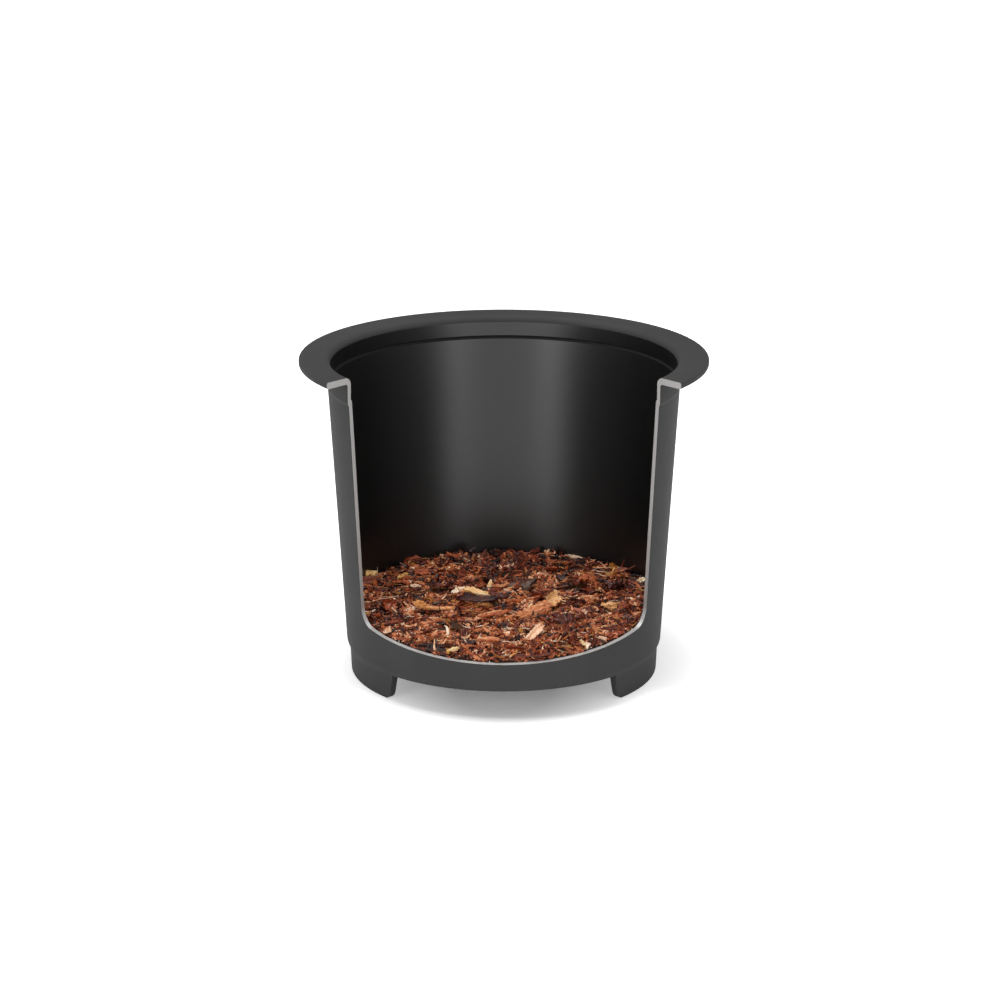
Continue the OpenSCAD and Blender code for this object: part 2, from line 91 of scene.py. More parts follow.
def perMetre(sizeMm):    # texture scale that gives features of this size
    return 1000 / sizeMm


def meshObject(name, points, faces, materials=()):
    mesh = bpy.data.meshes.new(name)
    mesh.from_pydata([tuple(p) for p in points], [], [tuple(f) for f in faces])
    for material in materials:
        mesh.materials.append(material)
    piece = bpy.data.objects.new(name, mesh)
    bpy.context.scene.collection.objects.link(piece)
    return piece


camera = dict(
    place=(-2.04 * mm, -1539.2 * mm, 550.9 * mm),
    down=16.59,          # degrees below the horizon
    lens=108.2,
    sensor=36,
    farthest=60,         # metres
)


def makeCamera():
    data = bpy.data.cameras.new("camera")
    data.lens = camera["lens"]
    data.sensor_width = camera["sensor"]
    data.clip_end = camera["farthest"]
    seen = bpy.data.objects.new("camera", data)
    seen.location = camera["place"]
    seen.rotation_euler = (radians(90 - camera["down"]), 0, 0)
    bpy.context.scene.collection.objects.link(seen)
    bpy.context.scene.camera = seen


# white table under an overhead softbox, two side lights, and a black flag behind that keeps the
# white room out of the flange's sheen; the table's white carries a painted glow that grows away from the
# part
studio = dict(
    skyLight=0.36,       # the room's strength on the object
    floorSize=24.0,
    floorColour="#f6f6f6",
    flagColour="#1a1a1a",
    lift=(0.15, 0.84),   # painted light: the glow that the floor's white gets without a lamp, by the part and away from it
    paintedGlowFrom=0.08, paintedGlowTo=0.3,
    paintedGlowAcross=2.6,      # painted light: how much sooner the glow grows to the sides, where it whitens the shadows
    lamps=[              # name, place, aims at, width, height, watts
        ("topSoftbox", (-0.14, 0.05, 1.55), (0, 0, 0.1), 0.55, 0.55, 14),
        ("leftSoftbox", (-1.3, -1.6, 0.5), (0, 0, 0.1), 1.0, 1.0, 13),
        ("rightSoftbox", (1.3, -1.6, 0.5), (0, 0, 0.1), 1.0, 1.0, 9.5),
    ],
    flag=[(-2.4, 1.9, 0.28), (2.4, 1.9, 0.28), (2.4, 2.3, 2.6), (-2.4, 2.3, 2.6)],
)


def shownPart(tree):     # 1 on rays that show a thing by itself, mirrored or through glass, else 0
    path = addNode(tree, "LightPath")
    seen = addNode(tree, "Math", {"operation": "MAXIMUM"},
                   {0: path.outputs["Is Camera Ray"], 1: path.outputs["Is Glossy Ray"]})
    return addNode(tree, "Math", {"operation": "MAXIMUM"},
                   {0: seen.outputs[0], 1: path.outputs["Is Transmission Ray"]}).outputs[0]


def makeStudio():
    scene = bpy.context.scene
    scene.view_settings.view_transform = "Standard"
    world = bpy.data.worlds.new("studio")
    scene.world = world
    world.use_nodes = True
    tree = world.node_tree
    strength = addNode(tree, "MapRange", {"To Min": studio["skyLight"], "To Max": 1.0},
                       {"Value": shownPart(tree)})
    back = tree.nodes["Background"]
    back.inputs["Color"].default_value = (1, 1, 1, 1)
    tree.links.new(strength.outputs[0], back.inputs["Strength"])

    # uncoated white paper: matt, with a painted glow that is weakest by the part, so it keeps the soft
    # shadow there and runs out to plain white; to the sides the glow whitens the shadows
    paper, tree, surface = newMaterial("white_paper_painted_glow", Base_Color=linear(studio["floorColour"]),
                                       Roughness=1.0, Specular_IOR_Level=0.0,
                                       Emission_Color=(1, 1, 1, 1))
    place = addNode(tree, "TexCoord").outputs["Object"]
    wide = addNode(tree, "VectorMath", {"operation": "MULTIPLY", 1: (studio["paintedGlowAcross"], 1, 1)},
                   {0: place})
    away = addNode(tree, "VectorMath", {"operation": "LENGTH"}, {0: wide.outputs[0]})
    lift = addNode(tree, "MapRange", {"From Min": studio["paintedGlowFrom"], "From Max": studio["paintedGlowTo"],
                                      "To Min": studio["lift"][0], "To Max": studio["lift"][1]},
                   {"Value": away.outputs["Value"]})
    shown = addNode(tree, "Math", {"operation": "MULTIPLY"},
                    {0: lift.outputs[0], 1: shownPart(tree)})
    tree.links.new(shown.outputs[0], surface.inputs["Emission Strength"])
    half = studio["floorSize"] / 2
    corners = [(-half, -half, 0), (half, -half, 0), (half, half, 0), (-half, half, 0)]
    meshObject("floor", corners, [(0, 1, 2, 3)], [paper])
    # pressed wool felt, dyed black: takes the light and gives none back
    felt = newMaterial("black_felt", Base_Color=linear(studio["flagColour"]), Roughness=1.0,
                       Specular_IOR_Level=0.0)[0]
    meshObject("flag", studio["flag"], [(0, 1, 2, 3)], [felt])

    for name, place, aim, width, height, watts in studio["lamps"]:
        lamp = bpy.data.lights.new(name, "AREA")
        lamp.shape = "RECTANGLE"
        lamp.size, lamp.size_y, lamp.energy = width, height, watts
        holder = bpy.data.objects.new(name, lamp)
        holder.location = place
        holder.rotation_euler = (Vector(aim) - Vector(place)).to_track_quat("-Z", "Y").to_euler()
        scene.collection.objects.link(holder)
    print("studio ready")


bucket = dict(
    height=cadBox[1].z,
    flangeRadius=cadBox[1].x,
    flangeThick=3.4 * mm,
    flangeEdge=1.1 * mm,
    baseRadius=84.5 * mm,
    draft=3.4,           # degrees from upright
    wall=2.2 * mm,
    lip=3.6 * mm,
    underLip=1.4 * mm,
    collarDepth=12 * mm,
    stepIn=0.6 * mm,
    stepHeight=1.8 * mm,
    ledge=0.8 * mm,      # height of the slope that makes the step inside
    groove=0.35 * mm,    # the tool's run-out above it, and the heights of its corners
    grooveAt=(0.1 * mm, 0.25 * mm, 0.6 * mm, 0.85 * mm),
    grooveRound=0.1 * mm,
    stepRound=1.2 * mm,
    floorThick=3 * mm,
    floorRecess=3 * mm,
    corner=8 * mm,
    edgeSet=1 * mm,
    edgeHeight=2.6 * mm,
    edgeBlend=6 * mm,
    broken=0.3 * mm,     # radius of the broken edges
    underRound=0.6 * mm,
    hole=12.7 * mm,
    holeRound=0.2 * mm,
    rivets=4,
    rivetCircle=22 * mm,
    rivetHole=2.02 * mm,
    rivetTurns=32,
    rivetTool=20 * mm,
    ribs=8,
    ribThick=2.2 * mm,
    ribDepth=2.6 * mm,
    ribStart=27 * mm,
    ribRoot=0.3 * mm,    # how far the ribs run into the floor
    turns=360,           # facets round the pot
    ringTurns=180,
    sharpFrom=30,        # degrees between faces that meet in an edge
)
foot = dict(
    height=14.2 * mm,
    arc=91,              # degrees
    thick=4.6 * mm,
    taper=1.2 * mm,
    slant=11.5,          # degrees
    corner=5 * mm,
    edge=0.5 * mm,
    inset=0.5 * mm,
    root=1.6 * mm,       # height over which the outside runs into the wall
    rows=(7 * mm, 10 * mm),
    rise=(1.2 * mm, 0.5 * mm),   # how far it grows past its top and into the floor
    cornerSteps=14,
    columns=91,
)
window = dict(
    half=42.4,           # degrees from straight ahead
    offset=26.2 * mm,
    sill=29.4 * mm,
    tilt=11.3,           # degrees
    corner=9.5 * mm,
    cornerSteps=24,
)


def wallRadius(z):       # outside of the wall below the collar
    return bucket["baseRadius"] + (z - foot["height"]) * tan(radians(bucket["draft"]))


def boreRadius(z):       # inside of the wall below the collar
    return wallRadius(z) - bucket["wall"]


def sillHeight(y):
    return window["sill"] + (y + wallRadius(window["sill"])) * tan(radians(window["tilt"]))


def rounded(corners, arcStep=radians(5)):
    # closed outline from (x, y, radius, mark) corners; gives points and the mark of each
    points, marks = [], []
    for before, corner, after in zip(corners[-1:] + corners[:-1], corners, corners[1:] + corners[:1]):
        tip, radius = Vector(corner[:2]), corner[2]
        if not radius:
            points.append(tip)
            marks.append(corner[3])
            continue
        a = (Vector(before[:2]) - tip).normalized()
        b = (Vector(after[:2]) - tip).normalized()
        half = a.angle(b) / 2
        centre = tip + (a + b).normalized() * radius / sin(half)
        start = tip + a * radius / tan(half) - centre
        end = tip + b * radius / tan(half) - centre
        turn = pi - 2 * half
        if start.x * end.y - start.y * end.x < 0:
            turn = -turn
        steps = max(2, ceil(abs(turn) / arcStep))
        for i in range(steps + 1):
            spoke = Matrix.Rotation(turn * i / steps, 2) @ start
            points.append(centre + spoke)
            marks.append(corner[3])
    return points, marks


def potSection():        # (radius, height) corners of the wall, flange and floor, from the lower edge up
    b = bucket
    top, low = b["height"], foot["height"]
    step = top - b["collarDepth"]
    under = step - b["stepHeight"]
    floorLow = low + b["floorRecess"]
    floorTop = floorLow + b["floorThick"]
    collar = wallRadius(under) + b["stepIn"]
    collarBore = boreRadius(step) + b["stepIn"]
    groove = collarBore + b["groove"]
    lowest, lower, upper, highest = (step + rise for rise in b["grooveAt"])
    outside, inside, ledge = 0, 1, 3   # marks, by the order of the pot's materials; the ledge's takes the coat that paints the step's shade line
    return rounded([
        (b["baseRadius"] - b["edgeSet"], low, b["broken"], outside),
        (wallRadius(low + b["edgeHeight"]), low + b["edgeHeight"], b["edgeBlend"], outside),
        (wallRadius(under - b["stepHeight"]), under - b["stepHeight"], b["stepRound"], outside),
        (collar, under, b["stepRound"], outside),
        (collar, top - b["flangeThick"], b["underLip"], outside),
        (b["flangeRadius"], top - b["flangeThick"], b["flangeEdge"], outside),
        (b["flangeRadius"], top, b["flangeEdge"], outside),
        (collarBore, top, b["lip"], outside),
        (collarBore, highest, b["grooveRound"], inside),
        (groove, upper, b["grooveRound"], ledge),
        (groove, lower, b["grooveRound"], ledge),
        (collarBore, lowest, b["grooveRound"], ledge),
        (boreRadius(step - b["ledge"]), step - b["ledge"], b["broken"], ledge),
        (boreRadius(floorTop), floorTop, b["corner"], inside),
        (b["hole"], floorTop, b["broken"], inside),
        (b["hole"], floorLow, b["holeRound"], outside),
        (boreRadius(floorLow), floorLow, b["underRound"], outside),
        (boreRadius(low), low, b["broken"], outside),
    ])


def revolve(name, section, marks, turns, materials):
    # turned about Z; each band takes the mark of the point it ends at
    count = len(section)
    points = [(r * cos(a), r * sin(a), z)
              for a in (2 * pi * k / turns for k in range(turns)) for r, z in section]
    faces, kinds = [], []
    for k in range(turns):
        here, there = k * count, (k + 1) % turns * count
        for i in range(count):
            j = (i + 1) % count
            faces.append((here + i, there + i, there + j, here + j))
            kinds.append(marks[j])
    piece = meshObject(name, points, faces, materials)
    piece.data.polygons.foreach_set("material_index", kinds)
    return piece


def footTool(side, material):   # one foot, grown up into the wall that carries it
    f = foot
    topRadius = bucket["baseRadius"] - bucket["edgeSet"]
    floorLow = f["height"] + bucket["floorRecess"]
    lean = radians(f["slant"])
    cornerAt = -(f["corner"] + (f["height"] - f["corner"]) * sin(lean)) / cos(lean)
    arcTop = f["corner"] * (1 - sin(lean))
    steps, rootLow = f["cornerSteps"], f["height"] - f["root"]
    heights = [f["corner"] * (1 - cos(pi / 2 * k / steps)) for k in range(steps)]
    heights = [z for z in heights if z < arcTop - 0.1 * mm]   # none right below the corner's end
    heights += [arcTop, *f["rows"], rootLow, f["height"] - f["root"] / 2, f["height"],
                f["height"] + f["rise"][0], floorLow + f["rise"][1]]
    rows = []
    for z in heights:
        rim = topRadius - 2 * f["inset"]
        if z < f["edge"]:
            outer = rim - f["edge"] + sqrt(f["edge"] ** 2 - (f["edge"] - z) ** 2)
        elif z <= rootLow:
            outer = rim + f["inset"] * (z - f["edge"]) / (rootLow - f["edge"])
        else:
            outer = rim + f["inset"] * (1 + min(1, (z - f["height"] + f["root"]) / f["root"]))
        share = min(1, z / f["height"])
        inner = (rim - f["thick"] + f["taper"]) * (1 - share) + (topRadius - f["thick"]) * share
        if z < arcTop:
            end = cornerAt + sqrt(f["corner"] ** 2 - (f["corner"] - z) ** 2)
        else:
            end = (z - f["height"]) * tan(lean)
        rows.append((z, outer, inner, end))
    columns = f["columns"]
    points = []
    for z, outer, inner, end in rows:
        for radius in (outer, inner):
            reach = radians(f["arc"] / 2) + asin(end / radius)
            for k in range(columns):
                a = reach * (2 * k / (columns - 1) - 1) + (pi if side < 0 else 0)
                points.append((radius * cos(a), radius * sin(a), z))

    def at(row, skin, k):
        return (2 * row + skin) * columns + k

    faces = []
    last = len(rows) - 1
    for k in range(columns - 1):
        faces.append((at(0, 0, k), at(0, 1, k), at(0, 1, k + 1), at(0, 0, k + 1)))
        faces.append((at(last, 1, k), at(last, 0, k), at(last, 0, k + 1), at(last, 1, k + 1)))
        for row in range(last):
            above = row + 1
            faces.append((at(row, 0, k), at(row, 0, k + 1), at(above, 0, k + 1), at(above, 0, k)))
            faces.append((at(row, 1, k + 1), at(row, 1, k), at(above, 1, k), at(above, 1, k + 1)))
    for row in range(last):
        faces.append((at(row, 1, 0), at(row, 0, 0), at(row + 1, 0, 0), at(row + 1, 1, 0)))
        faces.append((at(row, 0, columns - 1), at(row, 1, columns - 1),
                      at(row + 1, 1, columns - 1), at(row + 1, 0, columns - 1)))
    return meshObject("footTool", points, faces, [material])


def prism(name, outline, place, length, material):   # an outline extruded along the placed Z axis
    count = len(outline)
    points = [place @ Vector((x, y, z)) for z in (-length / 2, length / 2) for x, y in outline]
    faces = [tuple(reversed(range(count))), tuple(range(count, 2 * count))]
    faces += [(i, (i + 1) % count, count + (i + 1) % count, count + i) for i in range(count)]
    return meshObject(name, points, faces, [material])


def windowTool(side, material):   # what one cut plane, the sill and the corner between them take away
    w = window
    fall = atan(tan(radians(w["tilt"])) * cos(radians(w["half"])))
    lean = asin(sin(radians(w["tilt"])) * sin(radians(w["half"])))
    far, radius = 2 * bucket["flangeRadius"], w["corner"]
    low = sillHeight(0) * cos(fall)
    centreX = w["offset"] - radius
    centreY = low + centreX * tan(lean) + radius / cos(lean)
    steps = w["cornerSteps"]
    arc = [-pi / 2 + lean + (pi / 2 - lean) * k / steps for k in range(steps + 1)]
    outline = [(-far, low - far * tan(lean))]
    outline += [(centreX + radius * cos(a), centreY + radius * sin(a)) for a in arc]
    outline += [(w["offset"], far), (-far, far)]
    place = (Matrix.Diagonal((side, 1, 1, 1)) @ Matrix.Rotation(radians(w["half"]), 4, "Z")
             @ Matrix.Rotation(pi / 2 + fall, 4, "X"))
    tool = prism("windowTool", outline, place, 4 * bucket["flangeRadius"], material)
    if side < 0:
        tool.data.flip_normals()
    return tool


def combine(piece, tools, operation):   # applies booleans; a tool's material goes onto what it cuts
    for tool in tools:
        step = piece.modifiers.new(operation.lower(), "BOOLEAN")
        step.operation, step.object = operation, tool
        step.solver, step.material_mode = "EXACT", "TRANSFER"
    shown = piece.evaluated_get(bpy.context.evaluated_depsgraph_get())
    applied = bpy.data.meshes.new_from_object(shown)
    piece.modifiers.clear()
    piece.data = applied
    for tool in tools:
        bpy.data.objects.remove(tool)


def ribTools(material):   # ribs under the floor and the ring that crosses them
    b = bucket
    floorLow = foot["height"] + b["floorRecess"]
    low, high = floorLow - b["ribDepth"], floorLow + b["ribRoot"]
    start, end = b["ribStart"], wallRadius(floorLow) - b["wall"] / 2
    half = b["ribThick"] / 2
    outline = [(start, -half), (end, -half), (end, half), (start, half)]
    tools = []
    for i in range(b["ribs"]):
        turn = Matrix.Rotation((i + 0.5) * 2 * pi / b["ribs"], 4, "Z")
        place = turn @ Matrix.Translation((0, 0, (low + high) / 2))
        tools.append(prism("ribTool", outline, place, high - low, material))
    # the ring lies midway between the bearing block, 1 mm inside the ribs' start, and the feet
    middle = (start - 1 * mm + b["baseRadius"] - b["edgeSet"] - foot["thick"]) / 2
    inner, outer = middle - half, middle + half
    ring = [Vector(corner) for corner in ((inner, low), (outer, low), (outer, high), (inner, high))]
    tools.append(revolve("ringTool", ring, [0] * 4, b["ringTurns"], [material]))
    return tools


def makeBucket(outsideCoat, insideCoat, cutMetal, ledgeShadeCoat):
    section, marks = potSection()
    piece = revolve("pot_shell", section, marks, bucket["turns"],
                    [outsideCoat, insideCoat, cutMetal, ledgeShadeCoat])
    combine(piece, [footTool(side, outsideCoat) for side in (1, -1)] + ribTools(outsideCoat), "UNION")
    radius, turns = bucket["rivetHole"], bucket["rivetTurns"]
    circle = [(radius * cos(2 * pi * k / turns), radius * sin(2 * pi * k / turns)) for k in range(turns)]
    outward = Matrix.Translation((bucket["rivetCircle"], 0, foot["height"]))
    holes = [prism("rivetTool", circle, Matrix.Rotation(i * 2 * pi / bucket["rivets"], 4, "Z") @ outward,
                   bucket["rivetTool"], outsideCoat) for i in range(bucket["rivets"])]
    combine(piece, holes, "DIFFERENCE")
    cutter = windowTool(1, cutMetal)
    combine(cutter, [windowTool(-1, cutMetal)], "INTERSECT")
    combine(piece, [cutter], "DIFFERENCE")
    piece.data.polygons.foreach_set("use_smooth", [True] * len(piece.data.polygons))
    piece.data.set_sharp_from_angle(angle=radians(bucket["sharpFrom"]))
    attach(piece, "pot")
    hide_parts("bucket")
    print("bucket ready:", len(piece.data.polygons), "faces")


def sprayedCoatOutside():
    # die-cast aluminium under a sprayed dark-grey silicone polyester coat, baked: an even
    # satin with a faint orange peel
    material, tree, surface = newMaterial("sprayed_coat_outside", Roughness=0.7, Specular_IOR_Level=0.12)
    place = addNode(tree, "TexCoord").outputs["Object"]
    cloud = addNode(tree, "TexNoise", {"Scale": perMetre(38), "Detail": 3.0}, {"Vector": place})
    tone = addNode(tree, "ValToRGB", {"stops": [(0.3, "#3d3d3d"), (0.7, "#424242")]},
                   {"Fac": cloud.outputs["Fac"]})
    tree.links.new(tone.outputs["Color"], surface.inputs["Base Color"])
    peel = addNode(tree, "TexNoise", {"Scale": perMetre(1.1), "Detail": 2.0}, {"Vector": place})
    bump = addNode(tree, "Bump", {"Strength": 0.25, "Distance": 0.02 * mm},
                   {"Height": peel.outputs["Fac"]})
    tree.links.new(bump.outputs["Normal"], surface.inputs["Normal"])
    return material


def grained(name, stops, grainMm, depthMm, strength, detail=4.0, rough=0.5, **shader):
    # a material whose fine pattern both tones its colour and roughens its surface
    material, tree, surface = newMaterial(name, **shader)
    place = addNode(tree, "TexCoord").outputs["Object"]
    grain = addNode(tree, "TexNoise", {"Scale": perMetre(grainMm), "Detail": detail, "Roughness": rough},
                    {"Vector": place})
    tone = addNode(tree, "ValToRGB", {"stops": stops}, {"Fac": grain.outputs["Fac"]})
    tree.links.new(tone.outputs["Color"], surface.inputs["Base Color"])
    bump = addNode(tree, "Bump", {"Strength": strength, "Distance": depthMm * mm},
                   {"Height": grain.outputs["Fac"]})
    tree.links.new(bump.outputs["Normal"], surface.inputs["Normal"])
    return material


def nonStickInside():
    # non-stick coat sprayed in two layers and baked: near black under a soft sheen, with a fine fleck
    return grained("non_stick_inside", [(0.35, "#070707"), (0.75, "#0f0f0f")], 0.8, 0.015, 0.2,
                   detail=1.0, Roughness=0.32, Specular_IOR_Level=0.62)


def dullLedgeShadeCoat():
    # the same coat on the ledge and its groove, made dull, dark and without the inside's sheen so that the
    # step shows as a thin dark line: painted shade
    return newMaterial("ledge_painted_shade_coat", Base_Color=linear("#141414"), Roughness=0.8,
                       Specular_IOR_Level=0.15)[0]


def milledAluminium():
    # the sectioned metal, milled and dressed: pale, bare, with fine tool marks
    return grained("milled_aluminium", [(0.3, "#a2a1a0"), (0.7, "#b0aeac")], 0.6, 0.02, 0.3,
                   detail=3.0, Metallic=1.0, Roughness=0.55)


residue = dict(
    top=36.4 * mm,
    overSill=0.9 * mm,   # how far the slope at the front lies above the window's sill
    soft=1.2 * mm,       # how softly the slope runs into the level part
    mound=1.2 * mm,
    moundSpread=22 * mm,
    lump=0.9 * mm,
    lumpShare=(0.5, 0.8),   # of it, near the wall and over the blade
    settle=1.0 * mm,     # how far the crumbled body lies below the solid's surface, under the clods
    grit=0.5 * mm,       # fine unevenness of the body itself, and its size across
    gritSize=1.6 * mm,
    gap=0.3 * mm,        # to the wall
    edgeDrop=3 * mm,     # how far below the top the body's radius is taken
    sweepRadius=77.2 * mm,
    sweepTop=28.8 * mm,
    hubRadius=17.8 * mm,
    hubTop=35.0 * mm,
    hubEdge=1 * mm,
    roof=(0.4 * mm, 0.3 * mm),   # least cover over the blade's space: the body, the pieces
    frontFrom=-22 * mm,
    rings=120,
    spokes=480,
    filletSteps=4,
    sharpFrom=28,        # degrees between faces that meet in an edge
    seed=7,
)
clods = dict(
    count=1300, radius=(1.8, 7.0), rise=(0.3, 0.6), toneSpread=0.1,
    paintedLightPerMm=0.08,         # painted light and shade: how much paler the residue is drawn with each mm of height, and darker below the first mm
    paintedBackShade=0.09,          # painted shade: how much darker the residue is drawn at the back wall than in the middle
    edge=9 * mm,         # how far from the wall the clods begin to shrink
    fewLarge=2.5,        # how much rarer the large clods are
)


def makeClods(random):   # x, y, radius, rise and tone shift of each clod in the heap
    reach = boreRadius(residue["top"])
    away = reach * np.sqrt(random.random(clods["count"]))
    angle = random.random(clods["count"]) * 2 * pi
    low, high = clods["radius"]
    radius = (low + (high - low) * random.random(clods["count"]) ** clods["fewLarge"]) * mm
    return np.stack([away * np.cos(angle), away * np.sin(angle), radius,
                     radius * random.uniform(*clods["rise"], clods["count"]),
                     random.normal(0, clods["toneSpread"], clods["count"])], 1)


def bedHeight(x, y):     # arrays in metres; the same surface as the CAD's solid
    r = residue
    across, back, away = x / mm, y / mm, np.hypot(x, y)
    d = np.radians       # waves in degrees per mm: 13 is one of 28 mm, 31 one of 12 mm
    lumps = (np.sin(d(13 * across + 40 * np.sin(d(7 * back))))
             + np.sin(d(17 * back + 50 * np.sin(d(9 * across)) + 60))
             + 0.8 * np.sin(d(29 * across - 23 * back + 20))
             + 0.8 * np.sin(d(31 * back + 19 * across + 140))) / 3.6
    heap = r["mound"] * np.exp(-(away / r["moundSpread"]) ** 2)
    slope = sillHeight(y) + r["overSill"]
    level = r["top"] - r["soft"] * np.log(1 + np.exp((r["top"] - slope) / r["soft"]))
    return level + heap + r["lump"] * lumps * np.where(away > r["sweepRadius"], *r["lumpShare"])


def heapHeight(x, y, spots):   # height of the heap's clods at each place, and their tone shift, which holds painted light on the higher parts and painted shade in the low parts and towards the back wall
    rise, shift = np.zeros_like(x), np.zeros_like(x)
    edge = np.clip((boreRadius(residue["top"]) - np.hypot(x, y)) / clods["edge"], 0, 1)
    for clodX, clodY, radius, high, tone in spots:
        cap = high * np.sqrt(np.clip(1 - ((x - clodX) ** 2 + (y - clodY) ** 2) / radius ** 2, 0, 1))
        shift = np.where(cap > rise, tone, shift)
        rise = np.maximum(rise, cap)
    rise = rise * edge
    # painted light on the higher clods, painted shade in the low parts and towards the back wall
    shift = shift + clods["paintedLightPerMm"] * (rise / mm - 1) - clods["paintedBackShade"] * y / residue["sweepRadius"]
    return bedHeight(x, y) - residue["settle"] + rise, shift


def makeBed(material, spots):   # the residue's crumbled body, with the space that the blade turns in
    r, b = residue, bucket
    floorTop = foot["height"] + b["floorRecess"] + b["floorThick"]
    filletTop = floorTop + b["corner"]
    edge = boreRadius(r["top"] - r["edgeDrop"]) - r["gap"]
    turn = boreRadius(filletTop) - b["corner"]
    own = b["corner"] - r["gap"]
    last = np.arccos((r["sweepRadius"] - turn) / own)
    bends = [last * i / r["filletSteps"] for i in range(r["filletSteps"] + 1)]
    outside = [(turn + own * cos(bend), filletTop - own * sin(bend)) for bend in bends]
    outside += [(r["sweepRadius"], r["sweepTop"]), (r["hubRadius"], r["sweepTop"]),
                (r["hubRadius"], r["hubTop"])]
    angle = 2 * pi * np.arange(r["spokes"])[:, None] / r["spokes"]
    radius = edge * np.arange(1, r["rings"] + 1)[None] / r["rings"]
    x, y = radius * np.cos(angle), radius * np.sin(angle)
    z = heapHeight(x, y, spots)[0]
    lowest = np.where(radius[0] < r["hubRadius"], r["hubTop"], r["sweepTop"]) + r["roof"][0]
    points = [(0, 0, z[:, 0].mean()), (0, 0, r["hubTop"])]
    for k in range(r["spokes"]):
        for i in range(r["rings"]):
            rough = noise.fractal(Vector((x[k, i], y[k, i], 0)) / r["gritSize"], 1.0, 2.0, 3)
            points.append((x[k, i], y[k, i], max(z[k, i] + r["grit"] * rough, lowest[i])))
        c, s = cos(angle[k, 0]), sin(angle[k, 0])
        points += [(away * c, away * s, height) for away, height in outside]
    rows = r["rings"] + len(outside)

    def at(k, i):
        return 2 + k % r["spokes"] * rows + i

    faces = []
    for k in range(r["spokes"]):
        faces += [(0, at(k, 0), at(k + 1, 0)), (1, at(k + 1, rows - 1), at(k, rows - 1))]
        faces += [(at(k, i), at(k, i + 1), at(k + 1, i + 1), at(k + 1, i)) for i in range(rows - 1)]
    body = meshObject("residue_body", points, faces, [material])
    body.data.polygons.foreach_set("use_smooth", [True] * len(body.data.polygons))
    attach(body, "pot")
    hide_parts("residue_bed")
    print("residue body ready")


def keepInside(points):  # pieces by the wall lean along it, and none reaches down into the blade's space
    away = np.hypot(points[..., 0], points[..., 1])
    limit = boreRadius(points[..., 2]) - residue["gap"]
    points[..., :2] *= np.minimum(1, limit / np.maximum(away, 1e-9))[..., None]
    away = np.hypot(points[..., 0], points[..., 1])
    lowest = np.where(away < residue["hubRadius"] + residue["hubEdge"], residue["hubTop"],
                      residue["sweepTop"]) + residue["roof"][1]
    points[..., 2] = np.maximum(points[..., 2], lowest)


def scatter(random, count, front):   # places over the bed, of which a share gathers towards the sill
    reach = boreRadius(residue["top"]) - 1 * mm
    tried = 5 * count    # enough for the places that are left out
    away = reach * np.sqrt(random.random(tried))
    angle = random.random(tried) * 2 * pi
    x, y = away * np.cos(angle), away * np.sin(angle)
    kept = np.flatnonzero((y < residue["frontFrom"]) | (random.random(tried) > front))[:count]
    return x[kept], y[kept]


def turned(points, yaw, pitch, roll):   # points (pieces, n, 3) turned about X, then Y, then Z
    def about(a, b, angle):
        c, s = np.cos(angle)[:, None], np.sin(angle)[:, None]
        u, v = points[..., a].copy(), points[..., b].copy()
        points[..., a], points[..., b] = c * u - s * v, s * u + c * v

    about(1, 2, roll)
    about(2, 0, pitch)
    about(0, 1, yaw)


def heapObject(name, points, faces, look, grain, material, smooth=True):
    # points (pieces, n, 3) with the same faces for each; look holds each piece's tone and its
    # share of the golden kind, and goes along as attributes with the grain
    pieces, each = points.shape[:2]
    keepInside(points)
    allFaces = np.arange(pieces)[:, None, None] * each + np.array(faces)[None]
    heap = meshObject(name, points.reshape(-1, 3).tolist(),
                      allFaces.reshape(-1, len(faces[0])).tolist(), [material])
    for label, values in zip(("tone", "gold"), look):
        own = heap.data.attributes.new(label, "FLOAT", "POINT")
        own.data.foreach_set("value", np.repeat(values, each).astype(np.float32))
    along = heap.data.attributes.new("grain", "FLOAT_VECTOR", "POINT")
    along.data.foreach_set("vector", grain.reshape(-1).astype(np.float32))
    heap.data.polygons.foreach_set("use_smooth", [smooth] * len(heap.data.polygons))
    if smooth:
        heap.data.set_sharp_from_angle(angle=radians(residue["sharpFrom"]))
    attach(heap, "pot")
    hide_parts("residue_bed")
    print(name, "ready:", pieces, "pieces")


tones = dict(
    least=0.07, most=0.98,
    paintedLightPerLift=0.07,        # painted light: paler with each mm that a piece lies higher, and painted shade on the lower ones
    golden=0.7,          # how far a piece of the golden kind goes from red to gold
)


def settle(random, points, size, spots):
    # drops pieces onto the clods; what lies higher is drawn paler, as painted light, and what lies lower
    # darker, as painted shade
    count = len(points)
    x, y = scatter(random, count, size["front"])
    z, shift = heapHeight(x, y, spots)
    lift = random.uniform(*size["lift"], count)
    points += np.stack([x, y, z + lift * mm], -1)[:, None]
    # painted light and shade by height, on top of the clod's tone shift
    tone = random.normal(*size["tone"], count) + shift + tones["paintedLightPerLift"] * (lift - np.mean(size["lift"]))
    gold = (random.random(count) < size["gold"]) * tones["golden"]
    return np.clip(tone, tones["least"], tones["most"]), gold


tear = dict(
    rings=5,
    narrowing=(0.3, 0.95),   # how much of the width the ends lose
    ragged=(0.6, 1.3),   # each ring's width as a share
    thinEnd=0.45,        # thickness left at a pointed end
    bend=0.22,           # as a share of the length
    twist=0.9,           # radians
    fray=0.08,           # as a share of the width
    roll=0.7,
)


